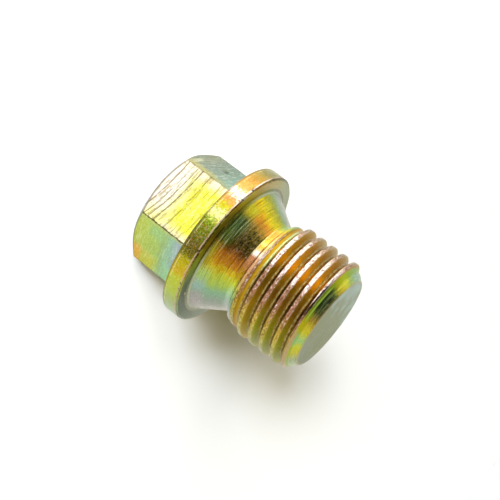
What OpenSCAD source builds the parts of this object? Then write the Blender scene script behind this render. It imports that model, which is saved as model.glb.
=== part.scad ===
// Oil drain plug, one solid of forged, turned and thread-rolled steel.
// It stands on its hexagon head: the head's end face is z = 0 and the plug's axis is +Z.

/* [Head] */
// Width of the hexagon across its flats
across_flats = 13; // [11:0.5:16]
// Height of the hexagon, from its end face to the flange
hex_h = 7.3; // [4:0.1:12]
// Diameter of the flat end face inside the hexagon's chamfer
hex_face_d = 12.4; // [9:0.1:12.8]
// Slope of the hexagon's chamfer against the end face, in degrees
hex_chamfer_angle = 30; // [15:1:45]

/* [Flange] */
// Diameter of the flange
flange_d = 19.2; // [17.5:0.1:26]
// Thickness of the flange
flange_t = 2.1; // [1.2:0.1:4]
// Radius of the flange's rounded rim edges
rim_round = 0.25; // [0.1:0.05:0.5]

/* [Neck] */
// Diameter at which the neck's cone would meet the bearing face
neck_base_d = 15.8; // [14.5:0.1:16.4]
// Fillet between the bearing face and the neck's cone
neck_base_fillet = 0.4; // [0.1:0.05:0.8]
// Angle between the neck's cone and the axis, in degrees
neck_angle = 32.5; // [25:0.5:40]
// Diameter of the neck's waist, its thinnest place
waist_d = 11.5; // [10:0.1:11.6]
// Radius of the hollow turn that ends the cone at the waist
waist_round = 1.2; // [0.8:0.1:2.6]

/* [Thread] */
// Length from the bearing face to the plug's end
shank_len = 13.4; // [12:0.1:20]
// Diameter over the thread's crests
thread_d = 13.8; // [13.5:0.05:14]
// Pitch of the thread
pitch = 1.5; // [1.25:0.05:1.75]
// Width of the thread's flat crest
crest_w = 0.42; // [0.2:0.02:0.5]
// Width of the thread's root between two flanks
root_w = 0.24; // [0.1:0.02:0.35]
// Angle between the two flanks of the thread, in degrees
thread_angle = 60; // [50:1:65]
// Bevel along both edges of the crest
crest_bevel = 0.07; // [0.03:0.01:0.12]
// Diameter of the plain land where the thread begins
land_d = 12.6; // [12.3:0.1:13.2]
// Width of that land
land_w = 0.3; // [0.2:0.05:1]
// Turn of the thread against the hexagon, in degrees
thread_turn = 15; // [-180:5:180]

/* [End] */
// Diameter of the flat end face
end_face_d = 10.9; // [9:0.1:11.2]
// Radius of the edge around the end face
end_round = 0.2; // [0.1:0.05:0.4]
// Length of the lead cone next to the end face
lead_len = 0.7; // [0.5:0.05:1.5]
// Distance from the end at which the crests begin to taper
crest_taper_len = 1.5; // [1.4:0.1:3]
// Slope of the crests' taper against the axis, in degrees
crest_taper_angle = 42; // [30:1:50]

/* [Hidden] */
$fn = 96;
// Steps in each rounded stretch of the turned outline
ARC_STEPS = 6;
// Rings of the thread in each turn
RINGS = 48;
// How far the thread's foot lies inside the core that carries it
FOOT = 0.45;
// How far the thread sinks into the core at both of its ends
SINK = 0.12;
// Turns over which the thread rises from the core, and over which it sinks back
RISE_TURNS = 0.9;
FALL_TURNS = 0.4;
// Slope of the small ramps up to the land and down from it, against the axis
RAMP_ANGLE = 42;
// Overlap of the head with the flange that it stands in
OVERLAP = 0.5;

bearing_z = hex_h + flange_t;
end_z = bearing_z + shank_len;
crest_r = thread_d / 2;
flank_tan = tan(thread_angle / 2);
thread_depth = (pitch - crest_w - root_w) / 2 / flank_tan;
root_r = crest_r - thread_depth;
waist_r = waist_d / 2;
land_r = land_d / 2;
cone_tan = tan(neck_angle);
// The waist's hollow turn touches the cone and a line parallel to the axis
cone_len = (neck_base_d - waist_d) / 2 / cone_tan;
waist_z = bearing_z + cone_len + waist_round * tan(neck_angle / 2);
land_z = waist_z + (land_r - waist_r) / tan(RAMP_ANGLE);
root_z = land_z + land_w + (land_r - root_r) / tan(RAMP_ANGLE);
lead_z = end_z - lead_len;
// Heights of the thread's middle line where it begins and where it ends
thread_z0 = land_z;
thread_z1 = lead_z;
thread_turns = (thread_z1 - thread_z0) / pitch;

// Points of an arc round the centre c, from one angle to another, both ends included
function arc(c, r, from, to) =
    [for (i = [0 : ARC_STEPS]) let (a = from + (to - from) * i / ARC_STEPS) c + r * [cos(a), sin(a)]];

// Outline of the turned body, as [radius, height], from the axis outward and up to the end
function body_outline() =
    let (
        rim_r = flange_d / 2,
        corner_r = rim_r - rim_round,
        // The fillet touches the bearing face and the cone
        fillet_r = neck_base_d / 2 + neck_base_fillet * tan((90 - neck_angle) / 2),
        edge_r = end_face_d / 2
    )
    concat(
        [[0, hex_h]],
        arc([corner_r, hex_h + rim_round], rim_round, -90, 0),
        arc([corner_r, bearing_z - rim_round], rim_round, 0, 90),
        arc([fillet_r, bearing_z + neck_base_fillet], neck_base_fillet, 270, 180 + neck_angle),
        arc([waist_r + waist_round, waist_z], waist_round, 180 + neck_angle, 180),
        [[land_r, land_z], [land_r, land_z + land_w], [root_r, root_z], [root_r, lead_z]],
        arc([edge_r, end_z - end_round], end_round, 30, 90),
        [[0, end_z]]
    );

module turned_body() {
    rotate_extrude()
        polygon(body_outline());
}

module hex_head() {
    cone_h = hex_h + OVERLAP;
    intersection() {
        cylinder(h = cone_h, r = across_flats / sqrt(3), $fn = 6);
        cylinder(h = cone_h, r1 = hex_face_d / 2, r2 = hex_face_d / 2 + cone_h / tan(hex_chamfer_angle));
    }
}

// Radius that the crests may not pass at the height z, because of the taper towards the end
function taper_r(z) = crest_r - max(0, z - (end_z - crest_taper_len)) * tan(crest_taper_angle);

// Share of the full thread at t turns from its beginning: it rises, stays whole and sinks back
function thread_share(t) = max(0, min(1, t / RISE_TURNS, (thread_turns - t) / FALL_TURNS));

// Section of the thread at t turns, as [radius, height from its middle], from one foot over the crest
function thread_section(t) =
    let (
        top_r = root_r - SINK + (thread_depth + SINK) * thread_share(t),
        foot_r = root_r - FOOT,
        foot_w = crest_w / 2 + (top_r - foot_r) * flank_tan,
        bevel_w = crest_w / 2 + crest_bevel * flank_tan
    )
    [
        [foot_r, -foot_w],
        [top_r - crest_bevel, -bevel_w],
        [top_r, crest_bevel - crest_w / 2],
        [top_r, crest_w / 2 - crest_bevel],
        [top_r - crest_bevel, bevel_w],
        [foot_r, foot_w]
    ];

// The same section in its place on the helix
function thread_ring(t) =
    let (a = thread_turn + 360 * t, middle_z = thread_z0 + pitch * t)
    [for (p = thread_section(t))
        let (z = middle_z + p[1], r = min(p[0], taper_r(z)))
        [r * cos(a), r * sin(a), z]];

// A right-hand thread as one closed ribbon of rings, with its foot inside the core
module thread() {
    last = ceil(thread_turns * RINGS);
    side = len(thread_section(0));
    points = [for (i = [0 : last]) each thread_ring(thread_turns * i / last)];
    walls = [
        for (i = [0 : last - 1], j = [0 : side - 1])
            let (
                a = i * side + j,
                b = i * side + (j + 1) % side,
                c = a + side,
                d = b + side
            )
            each [[a, b, c], [b, d, c]]
    ];
    start_cap = [for (j = [side - 1 : -1 : 0]) j];
    end_cap = [for (j = [0 : side - 1]) last * side + j];
    polyhedron(points = points, faces = concat([start_cap], walls, [end_cap]));
}

module plug() {
    color("#c9b45a")
        union() {
            hex_head();
            turned_body();
            thread();
        }
}

plug();
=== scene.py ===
import math

import bmesh
import bpy
from mathutils import Matrix, Vector, noise


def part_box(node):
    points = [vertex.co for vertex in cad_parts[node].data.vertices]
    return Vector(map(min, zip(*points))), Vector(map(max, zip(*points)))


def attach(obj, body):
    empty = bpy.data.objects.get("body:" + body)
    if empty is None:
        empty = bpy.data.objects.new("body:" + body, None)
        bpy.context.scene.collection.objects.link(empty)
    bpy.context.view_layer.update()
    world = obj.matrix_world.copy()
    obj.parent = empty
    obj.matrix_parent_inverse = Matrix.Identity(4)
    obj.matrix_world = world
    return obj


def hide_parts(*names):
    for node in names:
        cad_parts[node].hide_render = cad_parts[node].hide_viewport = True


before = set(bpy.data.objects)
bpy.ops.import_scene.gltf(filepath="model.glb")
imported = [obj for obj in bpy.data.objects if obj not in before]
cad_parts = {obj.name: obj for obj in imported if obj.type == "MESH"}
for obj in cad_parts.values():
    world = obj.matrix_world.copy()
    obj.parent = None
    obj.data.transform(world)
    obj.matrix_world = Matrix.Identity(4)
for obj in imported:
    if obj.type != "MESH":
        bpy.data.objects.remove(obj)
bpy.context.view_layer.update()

# Sizes in millimetres, the same as the solid's, and metres in a millimetre
MM = 0.001
PLUG_LOW, PLUG_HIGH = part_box("plug")
FLANGE_R = PLUG_HIGH[0] / MM
ACROSS_FLATS = 13.0
HEX_H = 7.3
FLANGE_T = 2.1
BEARING_Z = HEX_H + FLANGE_T
END_Z = BEARING_Z + 13.4
HEX_FACE_R = 6.2
HEX_CHAMFER_ANGLE = 30.0
HEX_EDGE_ROUND = 0.14
RIM_ROUND = 0.25
NECK_BASE_R = 7.9
NECK_BASE_FILLET = 0.4
NECK_ANGLE = 32.5
WAIST_R = 5.75
WAIST_ROUND = 1.2
LAND_R = 6.3
LAND_W = 0.3
LAND_RAMP_ANGLE = 42.0
CREST_R = 6.9
PITCH = 1.5
CREST_W = 0.42
ROOT_W = 0.24
FLANK_ANGLE = 30.0
CREST_SOFT = 0.05
ROOT_SOFT = 0.15
THREAD_TURN = 15.0
END_FACE_R = 5.45
END_ROUND = 0.2
LEAD_LEN = 0.7
CREST_TAPER_LEN = 1.35
CREST_TAPER_ANGLE = 45.0
SINK = 0.12
RISE_TURNS = 0.9


def tan_deg(angle):
    return math.tan(math.radians(angle))


FLANK_SLOPE = 1 / tan_deg(FLANK_ANGLE)
THREAD_DEPTH = (PITCH - CREST_W - ROOT_W) / 2 * FLANK_SLOPE
ROOT_R = CREST_R - THREAD_DEPTH
CONE_LEN = (NECK_BASE_R - WAIST_R) / tan_deg(NECK_ANGLE)
WAIST_Z = BEARING_Z + CONE_LEN + WAIST_ROUND * tan_deg(NECK_ANGLE / 2)
LAND_Z = WAIST_Z + (LAND_R - WAIST_R) / tan_deg(LAND_RAMP_ANGLE)
LAND_END_Z = LAND_Z + LAND_W
LEAD_Z = END_Z - LEAD_LEN
THREAD_TURNS = (END_Z - LAND_Z) / PITCH


# Columns of the mesh: every corner of the hexagon gets a close set of them

COLUMN_STEP = 1.3
CORNER_STEPS = 4


def corner_half_angle():
    """Angle from a corner of the hexagon to where its rounding meets the flat."""
    centre = ACROSS_FLATS / math.sqrt(3) - HEX_EDGE_ROUND / math.cos(math.radians(30))
    along = centre + HEX_EDGE_ROUND * math.cos(math.radians(30))
    return math.degrees(math.atan2(HEX_EDGE_ROUND * 0.5, along))


def column_angles():
    half = corner_half_angle()
    corner = [half * i / CORNER_STEPS for i in range(-CORNER_STEPS, CORNER_STEPS)]
    steps = round((60 - 2 * half) / COLUMN_STEP)
    flat = [half + (60 - 2 * half) * i / steps for i in range(steps)]
    return [math.radians(60 * k + a) for k in range(6) for a in corner + flat]


def hex_radius(theta):
    """Radius of the hexagon with rounded corners at an angle from a corner."""
    delta = abs((math.degrees(theta) + 30) % 60 - 30)
    if delta >= corner_half_angle():
        return ACROSS_FLATS / 2 / math.cos(math.radians(30 - delta))
    centre = ACROSS_FLATS / math.sqrt(3) - HEX_EDGE_ROUND / math.cos(math.radians(30))
    side = centre * math.sin(math.radians(delta))
    return centre * math.cos(math.radians(delta)) + math.sqrt(HEX_EDGE_ROUND ** 2 - side ** 2)


# Thread: its radius at any angle and height

def soft_ramp(x, soft):
    """Zero below 0 and x above it, with a rounded bend of half width soft."""
    if x <= -soft:
        return 0.0
    if x >= soft:
        return x
    return (x + soft) ** 2 / (4 * soft)


def soft_max(a, b, soft):
    return b + soft_ramp(a - b, soft)


def soft_min(a, b, soft):
    return a - soft_ramp(a - b, soft)


def core_radius(z):
    """Radius of the core under the thread, with the slope down from the land."""
    slope = LAND_R - max(0.0, z - LAND_END_Z) * tan_deg(LAND_RAMP_ANGLE)
    return max(ROOT_R, slope)


def thread_share(turns):
    return min(1.0, turns / RISE_TURNS)


def thread_radius(theta, z):
    radius = core_radius(z)
    phase = (theta - math.radians(THREAD_TURN)) / (2 * math.pi)
    first = math.floor((z - LAND_Z) / PITCH - phase)
    for k in (first - 1, first, first + 1, first + 2):
        turns = phase + k
        if not 0 <= turns <= THREAD_TURNS:
            continue
        offset = abs(z - LAND_Z - PITCH * turns)
        if offset > PITCH:
            continue
        top = ROOT_R - SINK + (THREAD_DEPTH + SINK) * thread_share(turns)
        ridge = top - soft_ramp(offset - CREST_W / 2, CREST_SOFT) * FLANK_SLOPE
        radius = soft_max(ridge, radius, ROOT_SOFT)
    taper = CREST_R - max(0.0, z - (END_Z - CREST_TAPER_LEN)) * tan_deg(CREST_TAPER_ANGLE)
    return soft_min(radius, max(taper, ROOT_R), 0.04)


# Rows of the mesh, each a function that gives the radius and height at an angle

def arc(radius, height, size, start, end, steps):
    """Points of an arc round a centre, both ends included."""
    points = []
    for i in range(steps + 1):
        a = math.radians(start + (end - start) * i / steps)
        points.append((radius + size * math.cos(a), height + size * math.sin(a)))
    return points


def between(a, b, steps):
    """Points from a towards b, with the first and without the last."""
    return [(a[0] + (b[0] - a[0]) * i / steps, a[1] + (b[1] - a[1]) * i / steps) for i in range(steps)]


def ring(point):
    return lambda theta: point


def head_rows():
    """Rows from the middle of the head's end face to the foot of the hexagon."""
    slope = tan_deg(HEX_CHAMFER_ANGLE)
    rows = [("head_end", ring((r, 0.0))) for r in (1.5, 3.0, 4.5, 5.6, HEX_FACE_R - 0.06)]

    def chamfer(share):
        def at(theta):
            r = HEX_FACE_R + (hex_radius(theta) - HEX_FACE_R) * share
            return (r, max(0.01, (r - HEX_FACE_R) * slope))
        return at

    def side(share):
        def at(theta):
            r = hex_radius(theta)
            low = (r - HEX_FACE_R) * slope + 0.06
            return (r, low + (HEX_H - low) * share)
        return at

    rows += [("head_end", chamfer(s)) for s in (0.0, 0.3, 0.6, 0.88)]
    rows += [("hex", side(0.0))]
    rows += [("hex", side(i / 40)) for i in range(1, 41)]
    return rows


def flange_rows():
    corner_r = FLANGE_R - RIM_ROUND
    low = arc(corner_r, HEX_H + RIM_ROUND, RIM_ROUND, -90, 0, 5)
    high = arc(corner_r, BEARING_Z - RIM_ROUND, RIM_ROUND, 0, 90, 5)
    fillet_r = NECK_BASE_R + NECK_BASE_FILLET * tan_deg((90 - NECK_ANGLE) / 2)
    under = between((7.75, HEX_H), low[0], 5)
    rim = low + between(low[-1], high[0], 10)[1:] + high
    face = between(high[-1], (fillet_r, BEARING_Z), 8)[1:]
    return (
        [("under", ring(p)) for p in under]
        + [("rim", ring(p)) for p in rim]
        + [("bearing", ring(p)) for p in face]
    )


def neck_rows():
    fillet_r = NECK_BASE_R + NECK_BASE_FILLET * tan_deg((90 - NECK_ANGLE) / 2)
    fillet = arc(fillet_r, BEARING_Z + NECK_BASE_FILLET, NECK_BASE_FILLET, 270, 180 + NECK_ANGLE, 6)
    waist = arc(WAIST_R + WAIST_ROUND, WAIST_Z, WAIST_ROUND, 180 + NECK_ANGLE, 160, 10)
    cone = between(fillet[-1], waist[0], 16)[1:]
    ramp = between(waist[-1], (LAND_R - 0.03, LAND_Z - 0.03), 6)[1:]
    land = [(LAND_R - 0.03, LAND_Z - 0.03), (LAND_R, LAND_Z + 0.04), (LAND_R, LAND_END_Z)]
    return [("neck", ring(p)) for p in fillet + cone + waist + ramp + land]


def lead_rows():
    edge = arc(END_FACE_R, END_Z - END_ROUND, END_ROUND, 30, 90, 5)
    cone = between((ROOT_R, LEAD_Z), edge[0], 6)
    rows = [("lead", ring(p)) for p in cone + edge]
    return rows + [("end", ring((r, END_Z))) for r in (5.2, 4.8, 4.2, 3.4, 2.4, 1.2)]


# Offsets of the helical rows from the middle of a crest, over one pitch
THREAD_OFFSETS = (-0.70, -0.64, -0.57, -0.48, -0.36, -0.25, -0.20, -0.15, -0.07,
                  0.07, 0.15, 0.20, 0.25, 0.36, 0.48, 0.57, 0.64, 0.70)


def helical_rows():
    """Rows that follow the thread, held between the land and the lead cone."""
    turns = range(-2, math.ceil(THREAD_TURNS) + 2)
    rows = []
    for k in turns:
        for offset in THREAD_OFFSETS:
            def at(theta, start=PITCH * k + offset):
                z = LAND_Z + start + PITCH * (theta - math.radians(THREAD_TURN)) / (2 * math.pi)
                z = max(LAND_END_Z, min(LEAD_Z, z))
                return (thread_radius(theta, z), z)
            rows.append(("thread", at))
    return rows


ZONES = ("head_end", "hex", "under", "rim", "bearing", "neck", "thread", "lead", "end")


def small_dents(co, zone):
    """Depth of the knocks and forging unevenness at a point, in millimetres."""
    depth = 0.0
    for place, size, deep in DENTS.get(zone, ()):
        away = (co - Vector(place)).length / size
        if away < 1:
            depth += deep * (1 - away * away) ** 2
    if zone in ("rim", "under"):
        depth += 0.012 * (noise.noise(co * 0.9) + 0.5 * noise.noise(co * 2.7) + 0.8)
    if zone in ("hex", "head_end"):
        depth += 0.010 * (noise.noise(co * 0.35) + 0.7)
    return depth


# Knocks by zone: place in millimetres, size across and depth
DENTS = {
    "rim": (((5.08, 8.09, 9.35), 0.45, 0.16), ((3.05, 9.05, 9.35), 0.35, 0.10), ((-3.65, 8.82, 9.35), 0.45, 0.16)),
    "bearing": (((5.08, 8.09, 9.4), 0.4, 0.10), ((-3.65, 8.82, 9.4), 0.4, 0.10), ((-6.97, 3.95, 9.4), 0.5, 0.12)),
    "hex": (
        ((5.81, 2.93, 3.74), 0.75, 0.12),
        ((-3.75, 6.5, 2.3), 0.35, 0.12), ((-3.75, 6.5, 3.9), 0.25, 0.07), ((-3.75, 6.5, 5.5), 0.35, 0.12),
        ((3.75, 6.5, 1.7), 0.3, 0.08), ((3.75, 6.5, 4.3), 0.35, 0.09),
    ),
}


def build_plug():
    """One closed mesh of the whole plug, with a material index for each zone."""
    angles = column_angles()
    n = len(angles)
    mesh = bmesh.new()
    rows = head_rows() + flange_rows() + neck_rows()
    helix = helical_rows()
    after = lead_rows()

    def point(theta, radius, z):
        return Vector((radius * math.cos(theta), radius * math.sin(theta), z))

    def add_row(row):
        return [mesh.verts.new(point(a, *row[1](a))) for a in angles]

    def add_faces(low, high, zone):
        for i in range(n):
            j = (i + 1) % n
            face = mesh.faces.new((low[i], low[j], high[j], high[i]))
            face.material_index = ZONES.index(zone)

    lower = [add_row(row) for row in rows]
    for k in range(len(rows) - 1):
        add_faces(lower[k], lower[k + 1], rows[k + 1][0])
    upper = [add_row(row) for row in after]
    for k in range(len(after) - 1):
        add_faces(upper[k], upper[k + 1], after[k + 1][0])

    # The thread's columns share the land's last ring and the lead cone's first ring
    low_ring, high_ring = lower[-1], upper[0]
    per_pitch = len(THREAD_OFFSETS)
    grid = []
    for i, a in enumerate(angles):
        column = []
        for _, at in helix:
            r, z = at(a)
            if z <= LAND_END_Z + 0.02:
                column.append(low_ring[i])
            elif z >= LEAD_Z - 0.02:
                column.append(high_ring[i])
            else:
                column.append(mesh.verts.new(point(a, r, z)))
        grid.append(column)
    for i in range(n):
        here = grid[i]
        if i + 1 < n:
            there = grid[i + 1]
        else:
            there = grid[0][per_pitch:] + [high_ring[0]] * per_pitch
        for j in range(len(helix) - 1):
            corners = []
            for v in (here[j], there[j], there[j + 1], here[j + 1]):
                if v not in corners:
                    corners.append(v)
            if len(corners) > 2:
                face = mesh.faces.new(corners)
                face.material_index = ZONES.index("thread")

    def close(row, z, zone, flip):
        middle = mesh.verts.new((0, 0, z))
        for i in range(n):
            j = (i + 1) % n
            corners = (middle, row[j], row[i]) if flip else (middle, row[i], row[j])
            face = mesh.faces.new(corners)
            face.material_index = ZONES.index(zone)

    close(lower[0], 0.0, "head_end", True)
    close(upper[-1], END_Z, "end", False)

    mesh.normal_update()
    zone_of = {}
    for face in mesh.faces:
        for v in face.verts:
            zone_of.setdefault(v, ZONES[face.material_index])
    moves = {v: v.normal * small_dents(v.co, z) for v, z in zone_of.items()}
    for v, move in moves.items():
        v.co -= move
    for v in mesh.verts:
        v.co *= MM
    bmesh.ops.recalc_face_normals(mesh, faces=mesh.faces)

    data = bpy.data.meshes.new("plug_surface")
    mesh.to_mesh(data)
    mesh.free()
    data.shade_smooth()
    piece = bpy.data.objects.new("plug_surface", data)
    bpy.context.scene.collection.objects.link(piece)
    return piece


# Colours

def rgb(code):
    """Linear colour from a hexadecimal sRGB code."""
    parts = [int(code[i:i + 2], 16) / 255 for i in (1, 3, 5)]
    return [c / 12.92 if c <= 0.04045 else ((c + 0.055) / 1.055) ** 2.4 for c in parts] + [1.0]


class Paint:
    """A material's node tree, with short calls for the nodes that it needs."""

    def __init__(self, name):
        self.material = bpy.data.materials.new(name)
        self.material.use_nodes = True
        self.tree = self.material.node_tree
        self.shader = self.tree.nodes["Principled BSDF"]
        coords = self.tree.nodes.new("ShaderNodeTexCoord")
        scale = self.tree.nodes.new("ShaderNodeVectorMath")
        scale.operation = "SCALE"
        scale.inputs["Scale"].default_value = 1 / MM
        self.tree.links.new(coords.outputs["Object"], scale.inputs[0])
        self.point = scale.outputs[0]
        split = self.tree.nodes.new("ShaderNodeSeparateXYZ")
        self.link(self.point, split.inputs[0])
        self.x, self.y, self.z = split.outputs
        squares = self.math("ADD", self.math("MULTIPLY", self.x, self.x), self.math("MULTIPLY", self.y, self.y))
        self.radius = self.math("SQRT", squares)
        turn = self.math("ARCTAN2", self.math("MULTIPLY", self.x, -1.0), self.y)
        # Degrees round the axis, counted from the front flat
        self.azimuth = self.math("MULTIPLY", turn, 180 / math.pi)

    def link(self, source, target):
        self.tree.links.new(source, target)

    def feed(self, value, socket):
        if isinstance(value, bpy.types.NodeSocket):
            self.link(value, socket)
        elif isinstance(value, str):
            socket.default_value = rgb(value)
        else:
            socket.default_value = value

    def math(self, operation, a, b=0.0, c=0.0):
        node = self.tree.nodes.new("ShaderNodeMath")
        node.operation = operation
        self.feed(a, node.inputs[0])
        self.feed(b, node.inputs[1])
        self.feed(c, node.inputs[2])
        return node.outputs[0]

    def noise(self, vector, scale, detail=3.0, rough=0.55):
        node = self.tree.nodes.new("ShaderNodeTexNoise")
        node.inputs["Scale"].default_value = scale
        node.inputs["Detail"].default_value = detail
        node.inputs["Roughness"].default_value = rough
        self.link(vector, node.inputs["Vector"])
        return node.outputs["Fac"]

    def vector(self, x, y, z):
        node = self.tree.nodes.new("ShaderNodeCombineXYZ")
        for value, socket in zip((x, y, z), node.inputs):
            self.feed(value, socket)
        return node.outputs[0]

    def turned(self, around, along, shift=0.0):
        """Coordinates that run slowly round the axis and fast along the turned outline."""
        outline = self.math("SUBTRACT", self.z, self.radius)
        return self.vector(
            self.math("MULTIPLY", self.x, around),
            self.math("MULTIPLY", self.y, around),
            self.math("MULTIPLY_ADD", outline, along, shift),
        )

    def span(self, value, low, high, to_low=0.0, to_high=1.0):
        """Smooth step from one value to another as the input goes from low to high."""
        node = self.tree.nodes.new("ShaderNodeMapRange")
        node.interpolation_type = "SMOOTHSTEP"
        for name, number in (("From Min", low), ("From Max", high), ("To Min", to_low), ("To Max", to_high)):
            node.inputs[name].default_value = number
        self.link(value, node.inputs["Value"])
        return node.outputs["Result"]

    def window(self, value, low, high, soft):
        """One between low and high, falling to zero over a soft border on both sides."""
        rise = self.span(value, low - soft, low + soft)
        fall = self.span(value, high - soft, high + soft, 1.0, 0.0)
        return self.math("MULTIPLY", rise, fall)

    def times(self, *values):
        product = values[0]
        for value in values[1:]:
            product = self.math("MULTIPLY", product, value)
        return product

    def mix(self, share, a, b, blend="MIX"):
        node = self.tree.nodes.new("ShaderNodeMix")
        node.data_type = "RGBA"
        node.blend_type = blend
        # The colour sockets follow the number and vector sockets of the same names
        self.feed(share, node.inputs[0])
        self.feed(a, node.inputs[6])
        self.feed(b, node.inputs[7])
        return node.outputs[2]

    def ramp(self, value, stops):
        """Colours by value: stops are (value, colour code), from low to high."""
        low, high = stops[0][0], stops[-1][0]
        node = self.tree.nodes.new("ShaderNodeValToRGB")
        scaled = self.math("MULTIPLY_ADD", value, 1 / (high - low), -low / (high - low))
        self.link(scaled, node.inputs["Fac"])
        elements = node.color_ramp.elements
        while len(elements) < len(stops):
            elements.new(0.5)
        for element, (at, code) in zip(elements, stops):
            element.position = (at - low) / (high - low)
            element.color = rgb(code)
        return node.outputs["Color"]

    def round_ramp(self, stops, coarse=(0.45, 26.0), fine=(4.0, 10.0)):
        """Colours round the axis, with crooked borders: coarse and fine are (scale, degrees)."""
        azimuth = self.azimuth
        for scale, degrees in (coarse, fine):
            field = self.noise(self.point, scale, 2.0)
            azimuth = self.math("ADD", azimuth, self.math("MULTIPLY_ADD", field, degrees, -degrees / 2))
        ends = [(-190, stops[0][1]), (190, stops[-1][1])]
        return self.ramp(azimuth, ends[:1] + list(stops) + ends[1:])

    def bump(self, *layers):
        """Relief from layers of (height, depth in millimetres)."""
        total = None
        for height, depth in layers:
            part = self.math("MULTIPLY", height, depth * MM)
            total = part if total is None else self.math("ADD", total, part)
        node = self.tree.nodes.new("ShaderNodeBump")
        node.inputs["Strength"].default_value = 1.0
        node.inputs["Distance"].default_value = 1.0
        self.link(total, node.inputs["Height"])
        self.link(node.outputs["Normal"], self.shader.inputs["Normal"])

    def finish(self, color, roughness, metallic=1.0):
        self.feed(color, self.shader.inputs["Base Color"])
        self.feed(roughness, self.shader.inputs["Roughness"])
        self.shader.inputs["Metallic"].default_value = metallic
        return self.material


# Colours of the chromated zinc round the axis, with painted light in them: the near-white bands are painted highlights
# and the darkest bands painted dark reflections.
# Degrees from the front flat, positive towards the flat that follows it counter-clockwise when the threaded end is
# looked at

# Painted highlights near white from -25 to -20.5 degrees and pale at -5; painted dark reflection, dark olive, from 8 to
# 27 degrees
RIM_COLORS = (
    (-150, "#c0b45c"), (-85, "#98a080"), (-66, "#848448"), (-56, "#80781c"), (-47, "#a88818"),
    (-41, "#b4841c"), (-34, "#d0983c"), (-28, "#d4a04c"), (-25, "#e8cca0"), (-23, "#f4ece0"), (-20.5, "#f4ece4"),
    (-18, "#dca870"), (-16, "#cc8c48"), (-12, "#c4a824"), (-8, "#bcc014"), (-5, "#f0ecb0"), (-1, "#e4e478"),
    (3, "#90a81c"), (8, "#747c0c"), (15, "#6c7010"), (21, "#64540c"), (27, "#6c6810"),
    (31, "#a4980c"), (36, "#b8a80c"), (42, "#c8a41c"), (47, "#bcc434"), (60, "#b0c044"),
    (70, "#a8b870"), (90, "#98b090"), (150, "#c0b45c"),
)
NECK_COLORS = (
    (-165, "#ccb848"), (-140, "#b8bc58"), (-115, "#a0b490"), (-85, "#b0b0a0"), (-68, "#a0b098"), (-60, "#98b068"), (-54, "#b8b81c"),
    (-42, "#ffe808"), (-36, "#ffcc18"), (-29, "#f8a430"), (-22, "#d4a434"), (-16, "#98882c"),
    (-6, "#88782c"), (4, "#847024"), (9, "#9c5c10"), (15, "#cc7410"), (24, "#d08c0c"),
    (30, "#e0c00c"), (38, "#ccd840"), (48, "#acc858"), (56, "#90b890"), (72, "#98a490"),
    (95, "#b0a898"), (120, "#a4b888"), (145, "#c0bc50"), (165, "#ccb848"),
)
# Painted highlights: a pale yellow streak at -17 degrees and near white from -5 to -1 degrees
WAIST_COLORS = (
    (-160, "#c4b450"), (-120, "#a8b880"), (-75, "#a0a890"), (-56, "#98b050"), (-44, "#d0c030"), (-36, "#d8a444"),
    (-24, "#e0a438"), (-20, "#dcc040"), (-17, "#fcf880"), (-14, "#dcb034"), (-8, "#ecb068"), (-5, "#fcecd8"), (-1, "#fff4e8"),
    (1, "#b87c54"), (15, "#a8703c"), (20, "#a87808"), (30, "#b49814"), (38, "#c4cc30"),
    (50, "#a8cc90"), (64, "#a0b4a4"), (84, "#a8a498"), (120, "#a8b880"), (160, "#c4b450"),
)
# Painted highlight, white-pink, from -38 to -2 degrees
CREST_COLORS = (
    (-150, "#b0a884"), (-90, "#a8a078"), (-60, "#a88c60"), (-46, "#c8a080"), (-38, "#f4e0d0"),
    (-2, "#f4d8d4"), (4, "#ac8468"), (24, "#ac7860"), (36, "#b08850"), (46, "#c8a83c"),
    (62, "#bcb044"), (90, "#a8a474"), (150, "#b0a884"),
)
FLANK_COLORS = (
    (-160, "#c0982c"), (-120, "#b4a040"), (-85, "#c0a868"), (-60, "#c49c48"), (-44, "#c8922c"), (-28, "#e8ac20"),
    (-18, "#ffc020"), (-2, "#ffc01c"), (4, "#e8b818"), (16, "#c89018"), (28, "#b89014"),
    (42, "#b0a810"), (60, "#b0b420"), (80, "#a4ac58"), (120, "#b4a040"), (160, "#c0982c"),
)
# Painted dark reflection, dark green to near black, from -20 to 9 degrees
END_CONE_COLORS = (
    (-160, "#c8c03c"), (-120, "#a0b870"), (-80, "#a8c4b4"), (-58, "#98c0a0"), (-47, "#a8c050"), (-38, "#ece408"),
    (-26, "#ccb404"), (-20, "#54700c"), (-12, "#183010"), (2, "#0e240c"), (9, "#504008"),
    (15, "#a07408"), (24, "#d4bc04"), (33, "#d0c810"), (42, "#98cc80"), (50, "#d0d014"),
    (60, "#ccc424"), (76, "#a0b080"), (120, "#a4c080"), (160, "#c8c03c"),
)
BEARING_COLORS = (
    (-150, "#98a084"), (-85, "#b0b488"), (-62, "#b8ac60"), (-48, "#c0a04c"), (-36, "#c0a828"),
    (-20, "#c0bc10"), (0, "#b8b40c"), (20, "#bcc00c"), (32, "#b4c01c"), (44, "#848c50"),
    (58, "#445420"), (80, "#4c5c30"), (150, "#98a084"),
)


def grain_layers(paint, seed=0.0):
    """Fine grain of the plated surface, and turning marks, both from 0 to 1."""
    grain = paint.noise(paint.point, 9.0 + seed, 3.0, 0.65)
    marks = paint.noise(paint.turned(0.45, 8.0, seed), 1.0, 4.0, 0.7)
    return grain, marks


def mottle(paint, color, amount=0.3, scale=5.0):
    """The colour with small lighter and darker spots in it."""
    spots = paint.noise(paint.point, scale, 2.0, 0.7)
    color = paint.mix(paint.span(spots, 0.52, 0.66, 0.0, amount), color, "#fff8dc")
    return paint.mix(paint.span(spots, 0.34, 0.48, amount, 0.0), color, "#3c3008")


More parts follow.
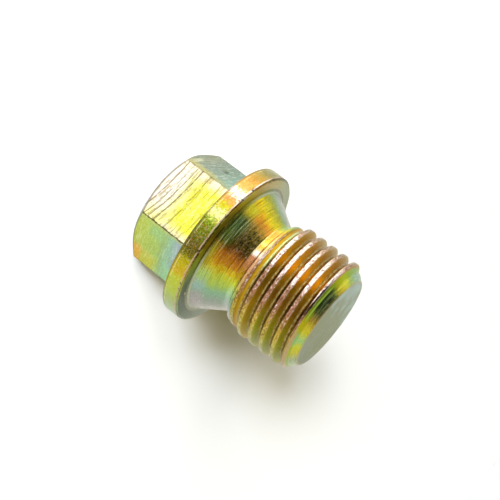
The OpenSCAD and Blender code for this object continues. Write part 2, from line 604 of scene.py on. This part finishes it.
def rim_material():
    paint = Paint("steel_rim")
    grain, marks = grain_layers(paint)
    color = paint.round_ramp(RIM_COLORS, (0.6, 6.0), (4.2, 16.0))
    dots = paint.noise(paint.point, 6.0, 2.0, 0.75)
    dark = paint.times(paint.span(dots, 0.52, 0.60), paint.window(paint.azimuth, 0, 30, 6), 0.75)
    color = paint.mix(dark, color, "#241c08")
    green = paint.noise(paint.point, 3.1, 2.0)
    color = paint.mix(paint.times(paint.span(green, 0.56, 0.64), paint.window(paint.azimuth, -14, 14, 5), 0.35), color, "#88a818")
    rust = paint.times(paint.span(green, 0.36, 0.44, 1.0, 0.0), paint.window(paint.azimuth, -20, 26, 6), 0.32)
    color = paint.mix(rust, color, "#b06024")
    color = mottle(paint, color, 0.16, 6.5)
    uneven = paint.noise(paint.point, 1.4, 2.0)
    shift = paint.math("MULTIPLY_ADD", uneven, 0.12, -0.06)
    level = paint.math("ADD", paint.z, shift)
    # A dark line of painted shade and a light line of painted highlight along both edges
    light = paint.times(paint.window(level, HEX_H + 0.40, HEX_H + 0.50, 0.03), paint.span(uneven, 0.42, 0.52), 0.45)
    color = paint.mix(light, color, "#f0e0a8")
    color = paint.mix(paint.span(level, HEX_H + 0.24, HEX_H + 0.34, 0.6, 0.0), color, "#605424")
    # Painted highlight along the edge towards the bearing face, brightest from -50 to -14 degrees
    bright = paint.window(paint.azimuth, -50, -14, 6)
    edge = paint.mix(bright, "#c8a890", "#fff4e4")
    color = paint.mix(paint.times(paint.window(level, BEARING_Z - 0.29, BEARING_Z - 0.15, 0.03), 0.85), color, edge)
    nicks = paint.times(paint.span(level, BEARING_Z - 0.35, BEARING_Z - 0.25), paint.span(paint.noise(paint.point, 2.9, 2.0), 0.60, 0.66))
    color = paint.mix(paint.times(nicks, 0.85), color, "#302010")
    # Three knocks in the edge towards the bearing face
    for at, half, low in ((-32.0, 0.7, 0.36), (-20.5, 0.5, 0.28), (22.0, 0.6, 0.40)):
        slant = paint.math("MULTIPLY_ADD", paint.z, 5.0, -5.0 * BEARING_Z)
        knock = paint.window(paint.math("ADD", paint.azimuth, slant), at - half - 0.8, at + half - 0.8, 0.3)
        knock = paint.times(knock, paint.span(paint.z, BEARING_Z - low, BEARING_Z - low + 0.12), 0.9)
        color = paint.mix(knock, color, "#20140c")
    # Painted shade: a dark line right at the edge towards the bearing face, darkest from -20 to 5 degrees
    deep = paint.math("MULTIPLY_ADD", paint.window(paint.azimuth, -20, 5, 4), 0.5, 0.4)
    color = paint.mix(paint.times(paint.window(level, BEARING_Z - 0.12, BEARING_Z - 0.03, 0.03), deep), color, "#2c200c")
    paint.bump((grain, 0.05), (marks, 0.03), (dots, 0.04))
    rough = paint.span(grain, 0.3, 0.7, 0.22, 0.4)
    return paint.finish(color, rough)


def bearing_material():
    paint = Paint("steel_bearing")
    grain, marks = grain_layers(paint, 3.0)
    color = paint.round_ramp(BEARING_COLORS)
    pale = paint.math("MAXIMUM", paint.span(paint.azimuth, 44, 70), paint.span(paint.azimuth, -66, -44, 1.0, 0.0))
    color = paint.mix(paint.times(paint.span(paint.radius, 8.1, 8.35, 1.0, 0.0), pale, 0.7), color, "#c4a89c")
    outer = paint.span(paint.radius, FLANGE_R - 0.38, FLANGE_R - 0.30)
    color = paint.mix(paint.times(outer, 0.15), color, "#54441c")
    color = paint.mix(paint.span(marks, 0.5, 0.7, 0.0, 0.12), color, "#b8b880")
    color = mottle(paint, color, 0.12, 5.0)
    # A dark nick beside the foot of the neck, with a bright lip that is a painted highlight
    nick = paint.times(paint.window(paint.azimuth, 58.8, 61.8, 0.5), paint.window(paint.radius, 8.10, 8.42, 0.06), 0.9)
    color = paint.mix(nick, color, "#14180a")
    lip = paint.times(paint.window(paint.azimuth, 61.8, 64.8, 0.5), paint.window(paint.radius, 8.10, 8.48, 0.06), 0.8)
    color = paint.mix(lip, color, "#d8ccb8")
    paint.bump((grain, 0.01), (marks, 0.03))
    return paint.finish(color, paint.span(marks, 0.3, 0.7, 0.26, 0.4))


def neck_material():
    paint = Paint("steel_neck")
    grain, marks = grain_layers(paint, 1.0)
    cone = paint.round_ramp(NECK_COLORS, (0.5, 10.0), (2.6, 12.0))
    # Towards the flange the dark stretch turns green and the orange one yellow
    foot = paint.span(paint.z, BEARING_Z + 0.9, BEARING_Z + 1.7, 1.0, 0.0)
    green = paint.times(foot, paint.window(paint.azimuth, -20, 9, 6), 0.8)
    cone = paint.mix(green, cone, "#7ca028")
    teal = paint.times(foot, paint.window(paint.azimuth, -17, -4, 4), 0.7)
    cone = paint.mix(teal, cone, "#6c9c50")
    gold = paint.times(foot, paint.window(paint.azimuth, -36, -22, 6), 0.9)
    cone = paint.mix(gold, cone, "#dcd820")
    amber = paint.times(paint.span(paint.z, BEARING_Z + 0.4, BEARING_Z + 1.1, 1.0, 0.0), paint.window(paint.azimuth, 10, 34, 5))
    cone = paint.mix(amber, cone, "#b4a018")
    mint = paint.times(foot, paint.window(paint.azimuth, 34, 46, 6), 0.6)
    cone = paint.mix(mint, cone, "#a0cc80")
    sky = paint.times(foot, paint.window(paint.azimuth, 46, 58, 6), 0.75)
    cone = paint.mix(sky, cone, "#9cbcb4")
    mauve = paint.times(foot, paint.window(paint.azimuth, 60, 84, 6), 0.7)
    cone = paint.mix(mauve, cone, "#b4a8a4")
    waist = paint.round_ramp(WAIST_COLORS, (0.4, 2.0), (3.0, 1.5))
    on_waist = paint.span(paint.z, BEARING_Z + 3.36, BEARING_Z + 3.42)
    line = paint.times(paint.window(paint.z, BEARING_Z + 3.27, BEARING_Z + 3.37, 0.03), paint.window(paint.azimuth, -26, 24, 8), 0.85)
    color = paint.mix(on_waist, cone, waist)
    color = paint.mix(line, color, "#281c08")
    # Painted highlight: a pale pinkish line on the ramp just before the land, from -30 to 40 degrees
    ledge_highlight = paint.times(paint.span(paint.z, LAND_Z - 0.34, LAND_Z - 0.22), paint.window(paint.azimuth, -30, 40, 10), 0.5)
    color = paint.mix(ledge_highlight, color, "#e8bc90")
    # Painted highlight: a pale yellow line where the waist begins, from -44 to -1 degrees
    light = paint.times(paint.window(paint.z, BEARING_Z + 3.42, BEARING_Z + 3.52, 0.03), paint.window(paint.azimuth, -44, -1, 3), 0.7)
    color = paint.mix(light, color, "#fcf8a0")
    on_cone = paint.span(paint.z, BEARING_Z + 3.2, BEARING_Z + 3.3, 1.0, 0.0)
    # Turning grooves: even and fine near the flange, torn into spots near the waist
    groove = paint.noise(paint.turned(0.30, 10.0, 7.0), 1.0, 2.0, 0.6)
    torn = paint.noise(paint.turned(2.2, 4.0, 3.0), 1.0, 3.0, 0.75)
    lower = paint.span(paint.z, BEARING_Z + 1.5, BEARING_Z + 2.1)
    cuts = paint.math("ADD", paint.times(groove, paint.math("SUBTRACT", 1.0, lower)), paint.times(torn, lower))
    # On the front, from -22 to 10 degrees, the grooves break a painted dark reflection into black streaks, with painted
    # glints between them
    front = paint.window(paint.azimuth, -22, 10, 7)
    dark_reflection_streaks = paint.times(paint.span(cuts, 0.51, 0.57), front, on_cone, 0.94)
    color = paint.mix(dark_reflection_streaks, color, "#100e04")
    painted_glint = paint.times(paint.span(cuts, 0.37, 0.44, 1.0, 0.0), front, on_cone, 0.8)
    color = paint.mix(painted_glint, color, paint.mix(lower, "#dce4b8", "#e0b8a0"))
    side = paint.times(paint.math("MULTIPLY_ADD", front, -0.75, 1.0), on_cone)
    sides = paint.times(side, paint.window(paint.azimuth, -52, 44, 12))
    color = paint.mix(paint.times(paint.span(groove, 0.50, 0.58), sides, 0.45), color, "#5c4408")
    color = paint.mix(paint.times(paint.span(groove, 0.38, 0.46, 1.0, 0.0), sides, 0.18), color, "#fff878")
    rim = paint.span(paint.z, BEARING_Z + 0.10, BEARING_Z + 0.34, 1.0, 0.0)
    color = paint.mix(paint.times(rim, 0.7), color, "#70701c")
    outer = paint.math("MAXIMUM", paint.span(paint.azimuth, 10, 40), paint.span(paint.azimuth, -50, -22, 1.0, 0.0))
    color = paint.mix(paint.times(paint.window(paint.z, BEARING_Z + 0.05, BEARING_Z + 0.22, 0.04), outer, 0.85), color, "#b8c0a0")
    color = mottle(paint, color, 0.12, 7.0)
    paint.bump((grain, 0.02), (marks, 0.03), (cuts, 0.03))
    return paint.finish(color, paint.span(grain, 0.3, 0.7, 0.18, 0.32))


def helix_offset(paint):
    """Distance along the axis from the middle of the nearest crest, in millimetres."""
    start = LAND_Z / PITCH + (90 - THREAD_TURN) / 360
    turns = paint.math("MULTIPLY_ADD", paint.z, 1 / PITCH, -start)
    turns = paint.math("MULTIPLY_ADD", paint.azimuth, -1 / 360, turns)
    whole = paint.math("FLOOR", paint.math("ADD", turns, 0.5))
    return paint.math("MULTIPLY", paint.math("SUBTRACT", turns, whole), PITCH)


def thread_material():
    paint = Paint("steel_thread")
    grain, marks = grain_layers(paint, 5.0)
    offset = helix_offset(paint)
    crest = paint.round_ramp(CREST_COLORS, (0.4, 10.0), (2.5, 18.0))
    speck = paint.noise(paint.turned(1.0, 1.6, 2.0), 3.4, 3.0, 0.75)
    crest = paint.mix(paint.span(speck, 0.51, 0.60, 0.0, 0.85), crest, "#6c4424")
    # Painted glints: near-white specks on the crests, denser below 20 degrees
    crest_glints = paint.times(paint.span(speck, 0.36, 0.44, 1.0, 0.0), paint.span(paint.azimuth, 20, 50, 0.75, 0.3))
    crest = paint.mix(crest_glints, crest, "#fff8f4")
    ragged = paint.math("MULTIPLY_ADD", speck, 0.34, -0.17)
    offset_crest = paint.math("ADD", offset, ragged)
    flank = paint.round_ramp(FLANK_COLORS, (0.4, 8.0), (2.0, 6.0))
    flank = mottle(paint, flank, 0.16, 6.0)
    flank = paint.mix(paint.span(paint.z, LAND_END_Z + 0.7, LAND_END_Z + 1.0, 0.75, 0.0), flank, "#a07820")
    flank = paint.mix(paint.span(paint.z, LAND_END_Z + 2.3, LAND_END_Z + 2.6, 0.6, 0.0), flank, "#c89c18")
    root = paint.mix(paint.span(speck, 0.46, 0.54), "#b8a468", "#846838")
    # The first groove's root is painted bright yellow-green from -60 to 4 degrees, a painted highlight
    first = paint.times(paint.span(paint.z, LAND_END_Z + 0.95, LAND_END_Z + 1.1, 1.0, 0.0), paint.window(paint.azimuth, -60, 4, 6))
    root = paint.mix(first, root, "#bcc684")
    # The head-facing flanks: painted shade, near black from -10 to 28 degrees, and beside it painted light, bright
    # orange from -20 to -2 degrees, that the next flank mirrors
    shade = paint.window(paint.azimuth, -10, 28, 9)
    lit = paint.mix(paint.window(paint.azimuth, -20, -2, 7), "#a08850", "#f0b83c")
    back = paint.mix(shade, lit, "#20160a")
    color = paint.mix(paint.window(offset_crest, -0.235, 0.225, 0.02), flank, crest)
    distance = paint.math("ABSOLUTE", offset)
    color = paint.mix(paint.span(distance, 0.60, 0.66), color, root)
    color = paint.mix(paint.window(offset, -0.60, -0.22, 0.03), color, back)
    # Past the taper the thread runs out in the lead cone
    cone = paint.round_ramp(END_CONE_COLORS, (0.5, 6.0), (3.5, 8.0))
    taper_z = END_Z - CREST_TAPER_LEN
    lip = paint.math("ADD", paint.z, paint.math("MULTIPLY_ADD", speck, 0.24, -0.12))
    band = paint.mix(0.65, cone, "#a4bc18")
    tan = paint.times(paint.span(paint.azimuth, 26, 38), paint.span(paint.z, taper_z + 0.42, taper_z + 0.56, 0.85, 0.0))
    band = paint.mix(tan, band, "#c8a478")
    mint = paint.times(paint.window(paint.azimuth, 34, 50, 5), paint.span(paint.z, taper_z + 0.46, taper_z + 0.60), 0.8)
    band = paint.mix(mint, band, "#94cc84")
    band = paint.mix(paint.times(paint.window(paint.azimuth, 18, 30, 4), 0.7), band, "#ccb818")
    past = paint.span(lip, taper_z + 0.16, taper_z + 0.20)
    # Painted dark reflection: a near-black green band across the front of the lead cone, from -21 to 8 degrees
    deep = paint.times(paint.span(paint.z, taper_z + 0.46, taper_z + 0.54), paint.window(paint.azimuth, -21, 8, 5), 0.92)
    torn = paint.times(paint.window(lip, taper_z - 0.02, taper_z + 0.16, 0.02), paint.window(paint.azimuth, -20, 16, 6), 0.9)
    color = paint.mix(torn, color, "#181408")
    color = paint.mix(past, color, band)
    brown = paint.times(paint.window(paint.z, taper_z + 0.10, taper_z + 0.2, 0.03), paint.window(paint.azimuth, -70, -22, 10), 0.8)
    color = paint.mix(brown, color, "#c8904c")
    line = paint.times(paint.window(paint.z, taper_z + 0.36, taper_z + 0.48, 0.03), paint.window(paint.azimuth, -20, 18, 6), 0.8)
    color = paint.mix(line, color, "#b8e05c")
    color = paint.mix(deep, color, "#08240c")
    land = paint.round_ramp(WAIST_COLORS, (0.4, 2.0), (3.0, 1.5))
    color = paint.mix(paint.span(paint.z, LAND_END_Z, LAND_END_Z + 0.06, 1.0, 0.0), color, land)
    paint.bump((grain, 0.02), (speck, 0.08), (marks, 0.02))
    on_flank = paint.window(offset, 0.22, 0.64, 0.03)
    rough = paint.math("ADD", paint.span(grain, 0.3, 0.7, 0.18, 0.32), paint.math("MULTIPLY", on_flank, 0.14))
    return paint.finish(color, rough)


def lead_material():
    paint = Paint("steel_lead")
    grain, marks = grain_layers(paint, 8.0)
    color = paint.round_ramp(END_CONE_COLORS, (0.5, 6.0), (3.5, 10.0))
    dark = paint.noise(paint.turned(1.2, 5.0, 4.0), 1.0, 2.0, 0.75)
    # Painted dark reflection: near-black streaks, broken by the turning marks, across the front of the chamfer from -17
    # to 9 degrees
    share = paint.times(paint.span(dark, 0.46, 0.52), paint.window(paint.azimuth, -17, 9, 5), 0.92)
    color = paint.mix(share, color, "#041408")
    teal = paint.times(paint.span(dark, 0.36, 0.44, 1.0, 0.0), paint.window(paint.azimuth, -14, 8, 5), 0.4)
    color = paint.mix(teal, color, "#8cbc80")
    inner = paint.window(paint.z, LEAD_Z + 0.14, LEAD_Z + 0.26, 0.03)
    color = paint.mix(paint.times(inner, paint.window(paint.azimuth, -44, -22, 5), 0.8), color, "#f8fc38")
    color = paint.mix(paint.times(inner, paint.window(paint.azimuth, -20, 16, 5), 0.35), color, "#7c9c58")
    color = paint.mix(paint.times(paint.window(marks, 0.5, 0.6, 0.04), 0.25), color, "#e8ec80")
    color = mottle(paint, color, 0.09, 6.0)
    color = paint.mix(paint.span(paint.z, END_Z - 0.14, END_Z - 0.06, 0.0, 0.5), color, "#b8a070")
    paint.bump((grain, 0.02), (marks, 0.05), (dark, 0.08))
    return paint.finish(color, paint.span(grain, 0.3, 0.7, 0.2, 0.34))


def end_material():
    paint = Paint("steel_end")
    grain, marks = grain_layers(paint, 11.0)
    cloud = paint.noise(paint.point, 0.35, 3.0, 0.6)
    # Greener and darker on one side, pale blue-green on the other
    side = paint.math("ADD", paint.math("MULTIPLY", paint.x, 0.13), paint.math("MULTIPLY_ADD", cloud, 2.4, -1.2))
    color = paint.ramp(side, [(-0.8, "#909878"), (-0.3, "#989c70"), (0.15, "#98a078"), (0.4, "#acb8a4"), (0.8, "#b8d0c0")])
    color = paint.mix(paint.times(paint.span(marks, 0.5, 0.7), 0.15), color, "#c8cca0")
    color = mottle(paint, color, 0.08, 4.0)
    edge = paint.span(paint.radius, END_FACE_R - 0.22, END_FACE_R - 0.1, 0.0, 0.5)
    color = paint.mix(edge, color, "#b8a888")
    paint.bump((grain, 0.012), (marks, 0.006))
    return paint.finish(color, paint.span(cloud, 0.3, 0.7, 0.42, 0.55))


# Drawn lines on a flat: height at one side in millimetres, half width, and strength
DRAWN_LINES = (
    (1.12, 0.10, 0.95), (1.80, 0.10, 0.8), (2.38, 0.10, 0.95), (3.04, 0.12, 1.0), (3.62, 0.07, 0.5),
    (4.10, 0.10, 0.85), (4.45, 0.08, 0.6), (5.00, 0.08, 0.45), (5.62, 0.09, 0.55), (6.16, 0.09, 0.55),
)


def head_material(name):
    """Hexagon flats and the head's end: forged and drawn out in streaks, then plated.

    Neighbouring flats differ: the front one is pale yellow, painted near white low down as a painted highlight, the
    next one green with an orange cloud, and the one before it grey-green. The three at the back repeat them.
    """
    paint = Paint(name)
    grain, _ = grain_layers(paint, 2.0)
    sector = paint.math("FLOORED_MODULO", paint.math("ADD", paint.azimuth, 390.0), 180.0)
    on_left = paint.span(sector, 59.7, 60.3)
    on_right = paint.span(sector, 119.7, 120.3)
    on_front = paint.math("SUBTRACT", 1.0, on_left)
    # Distance along each flat from its middle, about -3.75 to 3.75 mm
    local = paint.math("SUBTRACT", paint.math("FLOORED_MODULO", sector, 60.0), 30.0)
    across = paint.math("MULTIPLY", paint.math("TANGENT", paint.math("RADIANS", local)), ACROSS_FLATS / 2)
    blot = paint.noise(paint.point, 0.8, 3.0)
    warp = paint.math("MULTIPLY_ADD", blot, 1.4, -0.7)
    height = paint.math("ADD", paint.z, warp)
    # Front flat: yellow plating colour, painted near white below about 3 mm as a painted highlight, and paler still
    # towards both sides
    front = paint.ramp(height, [(0.0, "#f0e2de"), (2.0, "#f0e8dc"), (2.9, "#eeea9c"), (4.0, "#ebeb50"),
                                (6.2, "#e8e83c"), (6.9, "#f0f070")])
    paler_sides = paint.math("MAXIMUM", paint.times(paint.span(across, 2.5, 3.6), 0.8), paint.span(across, -3.5, -2.2, 0.8, 0.0))
    front = paint.mix(paler_sides, front, "#f4e8cc")
    creamy = paint.times(paint.span(across, 1.4, 3.4), paint.window(height, 0.8, 3.4, 0.5), 0.7)
    front = paint.mix(creamy, front, "#f0ec84")
    front = paint.mix(paint.times(paint.span(paint.noise(paint.point, 3.6, 3.0, 0.7), 0.5, 0.62), 0.25), front, "#f6f6c8")
    left = paint.ramp(height, [(0.0, "#b8c044"), (2.0, "#b0c458"), (3.6, "#a8c464"), (4.4, "#98b880"),
                               (5.0, "#94c098"), (5.6, "#98b8b0"), (6.3, "#a0acb8"), (7.0, "#94b8a8")])
    shade = paint.times(paint.window(across, -3.4, -1.6, 0.5), paint.window(height, 2.3, 4.2, 0.5), 0.7)
    left = paint.mix(shade, left, "#98c480")
    far = paint.span(paint.math("ADD", across, warp), 0.9, 1.9)
    rust = paint.times(paint.window(height, 0.2, 1.5, 0.3), far, 0.85)
    left = paint.mix(paint.times(far, paint.window(height, 1.0, 3.6, 0.6), 0.8), left, "#c4c040")
    left = paint.mix(rust, left, "#dca434")
    left = paint.mix(paint.times(far, paint.span(height, 4.6, 5.4), 0.8), left, "#98cc90")
    left = paint.mix(paint.span(across, -3.55, -3.1, 0.7, 0.0), left, "#b8c068")
    right = paint.ramp(height, [(0.0, "#606c50"), (1.2, "#687454"), (2.4, "#5c705c"), (4.4, "#5c7c68"), (6.6, "#609484")])
    olive = paint.times(paint.span(paint.math("ADD", across, warp), 2.0, 3.3), paint.span(paint.z, 3.0, 6.0, 0.9, 0.4))
    right = paint.mix(olive, right, "#a09840")
    pale = paint.times(paint.window(across, 0.8, 2.8, 0.6), paint.window(paint.z, 0.8, 1.3, 0.15), 0.6)
    right = paint.mix(pale, right, "#c8c89c")
    slant = paint.math("MULTIPLY_ADD", paint.z, 0.9, -0.9 * 3.74)
    dent = paint.times(paint.window(paint.math("ADD", across, slant), -0.9, 0.1, 0.2), paint.window(paint.z, 3.5, 3.9, 0.14))
    right = paint.mix(paint.times(dent, 0.75), right, "#3c4c3c")
    color = paint.mix(on_right, paint.mix(on_left, front, left), right)
    # Lines drawn across the flats bend towards the head's end on one side
    bend = paint.math("POWER", paint.math("ADD", across, 3.6), 2.0)
    bend = paint.times(bend, paint.span(paint.z, 2.6, 4.2, 0.016, 0.006))
    wobble = paint.noise(paint.vector(paint.math("MULTIPLY", paint.x, 0.7), paint.math("MULTIPLY", paint.y, 0.7), paint.z), 1.0, 3.0, 0.7)
    level = paint.math("ADD", paint.math("ADD", paint.z, bend), paint.math("MULTIPLY_ADD", wobble, 0.16, -0.08))
    stops = [(0.0, "#000000")]
    for at, half, strong in DRAWN_LINES:
        grey = "#%02x%02x%02x" % ((round(255 * strong),) * 3)
        stops += [(at - half, "#000000"), (at, grey), (at + half, "#000000")]
    drawn = paint.ramp(level, stops + [(7.5, "#000000")])
    gaps = paint.span(paint.noise(paint.point, 2.2, 3.0, 0.7), 0.36, 0.50, 0.35, 1.0)
    color = paint.mix(paint.times(drawn, gaps, paint.math("MULTIPLY_ADD", on_front, 0.94, 0.04)), color, "#2c1c08")
    fine = paint.noise(paint.vector(paint.math("MULTIPLY", paint.x, 0.5), paint.math("MULTIPLY", paint.y, 0.5),
                                    paint.math("MULTIPLY", level, 4.5)), 1.0, 3.0, 0.7)
    much = paint.math("MULTIPLY_ADD", on_front, 0.36, 0.18)
    color = paint.mix(paint.times(paint.span(fine, 0.52, 0.60), much), color, "#88740c")
    color = paint.mix(paint.times(paint.span(fine, 0.36, 0.44, 1.0, 0.0), 0.22), color, "#f4f8e0")
    worn = paint.math("MAXIMUM", paint.window(level, 0.9, 4.6, 0.5), paint.span(paint.math("ABSOLUTE", across), 2.6, 3.3))
    specks = paint.span(paint.noise(paint.point, 5.0, 2.0, 0.75), 0.56, 0.61)
    color = paint.mix(paint.times(specks, worn, on_front, 0.6), color, "#907020")
    color = mottle(paint, color, 0.12, 5.0)
    # Edges: dark where the flats meet, notched on one side, and along the chamfer
    ragged = paint.math("MULTIPLY_ADD", paint.noise(paint.point, 2.6, 2.0), 0.36, -0.18)
    border = paint.span(paint.math("ADD", paint.math("ABSOLUTE", across), ragged), 3.60, 3.70)
    sharp = paint.window(sector, 57.5, 62.5, 1.0)
    color = paint.mix(paint.times(border, paint.math("MULTIPLY_ADD", sharp, 0.5, 0.35)), color, "#3c2c0c")
    drop = paint.math("MULTIPLY", paint.math("SUBTRACT", paint.radius, HEX_FACE_R), tan_deg(HEX_CHAMFER_ANGLE))
    rim = paint.span(paint.math("SUBTRACT", paint.z, drop), 0.10, 0.22, 0.8, 0.0)
    color = paint.mix(rim, color, "#787460")
    paint.bump((grain, 0.02), (drawn, -0.03), (fine, 0.03))
    return paint.finish(color, paint.span(grain, 0.3, 0.7, 0.28, 0.42))


# Studio

def direction(azimuth, elevation):
    """Unit vector from an azimuth round +Z, counted from the front flat, and an elevation."""
    a, e = math.radians(azimuth + 90), math.radians(elevation)
    return Vector((math.cos(e) * math.cos(a), math.cos(e) * math.sin(a), math.sin(e)))


def add_floor():
    bpy.ops.mesh.primitive_plane_add(size=8.0, location=(0, 0, 0))
    floor = bpy.context.object
    floor.name = "floor"
    material = bpy.data.materials.new("paper_white")
    material.use_nodes = True
    shader = material.node_tree.nodes["Principled BSDF"]
    shader.inputs["Base Color"].default_value = (0.86, 0.86, 0.86, 1.0)
    shader.inputs["Roughness"].default_value = 0.9
    shader.inputs["Specular IOR Level"].default_value = 0.0
    floor.data.materials.append(material)


# Soft patches of the surroundings: azimuth, elevation, radius, softness in degrees, and brightness
SURROUNDINGS = (
    (-25.0, 60.0, 27.0, 9.0, 0.02),
)
SURROUNDINGS_BASE = 0.85
FILL = (0.17, 0.148, 0.04, 1.0)


def add_world():
    """Pale surroundings for reflections, a weaker fill for the floor, and plain white behind."""
    world = bpy.data.worlds.new("studio")
    bpy.context.scene.world = world
    world.use_nodes = True
    nodes, links = world.node_tree.nodes, world.node_tree.links
    seen = nodes["Background"]
    coords = nodes.new("ShaderNodeTexCoord")
    level = nodes.new("ShaderNodeValue")
    level.outputs[0].default_value = SURROUNDINGS_BASE
    socket = level.outputs[0]
    for azimuth, elevation, radius, soft, bright in SURROUNDINGS:
        dot = nodes.new("ShaderNodeVectorMath")
        dot.operation = "DOT_PRODUCT"
        dot.inputs[1].default_value = direction(azimuth, elevation)
        links.new(coords.outputs["Generated"], dot.inputs[0])
        share = nodes.new("ShaderNodeMapRange")
        share.interpolation_type = "SMOOTHSTEP"
        share.inputs["From Min"].default_value = math.cos(math.radians(radius + soft))
        share.inputs["From Max"].default_value = math.cos(math.radians(max(0.0, radius - soft)))
        links.new(dot.outputs["Value"], share.inputs["Value"])
        mix = nodes.new("ShaderNodeMix")
        links.new(share.outputs["Result"], mix.inputs[0])
        links.new(socket, mix.inputs[2])
        mix.inputs[3].default_value = bright
        socket = mix.outputs[0]
    links.new(socket, seen.inputs["Color"])
    path = nodes.new("ShaderNodeLightPath")
    fill = nodes.new("ShaderNodeBackground")
    fill.inputs["Color"].default_value = FILL
    white = nodes.new("ShaderNodeBackground")
    white.inputs["Color"].default_value = (1, 1, 1, 1)
    first = nodes.new("ShaderNodeMixShader")
    links.new(path.outputs["Is Diffuse Ray"], first.inputs["Fac"])
    links.new(seen.outputs["Background"], first.inputs[1])
    links.new(fill.outputs["Background"], first.inputs[2])
    second = nodes.new("ShaderNodeMixShader")
    links.new(path.outputs["Is Camera Ray"], second.inputs["Fac"])
    links.new(first.outputs["Shader"], second.inputs[1])
    links.new(white.outputs["Background"], second.inputs[2])
    links.new(second.outputs["Shader"], nodes["World Output"].inputs["Surface"])


def add_sun(name, azimuth, elevation, angle, strength, color=(1, 1, 1)):
    """Far soft light for the floor only: the metal mirrors the surroundings instead."""
    light = bpy.data.lights.new(name, "SUN")
    light.angle = math.radians(angle)
    light.energy = strength
    light.color = color
    lamp = bpy.data.objects.new(name, light)
    lamp.rotation_euler = (-direction(azimuth, elevation)).to_track_quat("-Z", "Y").to_euler()
    lamp.visible_glossy = False
    bpy.context.scene.collection.objects.link(lamp)


def add_pool(name, azimuth, distance, height, size, power):
    """Lamp over the floor beside the plug: a bright pool that the metal mirrors."""
    light = bpy.data.lights.new(name, "AREA")
    light.shape = "DISK"
    light.size = size * MM
    light.energy = power
    lamp = bpy.data.objects.new(name, light)
    foot = direction(azimuth, 0.0) * distance * MM
    lamp.location = foot + Vector((0, 0, height * MM))
    lamp.visible_camera = False
    lamp.visible_glossy = False
    bpy.context.scene.collection.objects.link(lamp)


# Camera, as fitted to the photograph: distances in millimetres, angles in degrees
FOCAL_PIXELS = 1132.0
PICTURE = 500.0
SENSOR = 36.0
HEX_TURN = -8.67
AXIS_TURN = 37.60
AXIS_TILT = 16.60
EYE_TO_RIM = Vector((-1.769, -0.032, 124.70))
RIM_EDGE_Z = 9.25


def add_camera():
    """Camera that sees the plug's axis turned and tilted as in the photograph."""
    turn, tilt = math.radians(AXIS_TURN), math.radians(AXIS_TILT)
    axis = Vector((math.cos(turn) * math.cos(tilt), math.sin(turn) * math.cos(tilt), -math.sin(tilt)))
    side = axis.cross(Vector((0, 0, 1))).normalized()
    front = axis.cross(side)
    spin = math.radians(HEX_TURN)
    x_axis = side * math.cos(spin) + front * math.sin(spin)
    y_axis = front * math.cos(spin) - side * math.sin(spin)
    # Rows of the matrix are the plug's axes, in the camera's right, down and forward
    to_plug = Matrix((x_axis, y_axis, axis))
    origin = EYE_TO_RIM - axis * RIM_EDGE_Z
    camera = bpy.data.cameras.new("camera")
    camera.sensor_width = SENSOR
    camera.lens = FOCAL_PIXELS / PICTURE * SENSOR
    camera.clip_start = 0.005
    camera.clip_end = 20.0
    holder = bpy.data.objects.new("camera", camera)
    right = to_plug @ Vector((1, 0, 0))
    down = to_plug @ Vector((0, 1, 0))
    forward = to_plug @ Vector((0, 0, 1))
    frame_axes = Matrix((right, -down, -forward)).transposed()
    holder.matrix_world = Matrix.Translation(to_plug @ -origin * MM) @ frame_axes.to_4x4()
    bpy.context.scene.collection.objects.link(holder)
    bpy.context.scene.camera = holder


add_camera()
plug = build_plug()
for material in (
    head_material("steel_head_end"), head_material("steel_hex"), bearing_material(),
    rim_material(), bearing_material(), neck_material(), thread_material(), lead_material(), end_material(),
):
    plug.data.materials.append(material)
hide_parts("plug")
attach(plug, "root")
add_floor()
add_world()
add_sun("key", 0.5, 8.4, 7.0, 12.2, (0.82, 0.88, 1.0))
add_sun("right", 3.8, 6.6, 6.0, 8.2, (0.97, 0.955, 0.92))
add_sun("side", -6.5, 11.5, 11.0, 4.75, (0.97, 0.955, 0.92))
add_pool("pool", -50.0, 40.0, 26.0, 30.0, 0.03)
bpy.context.scene.view_settings.view_transform = "Standard"
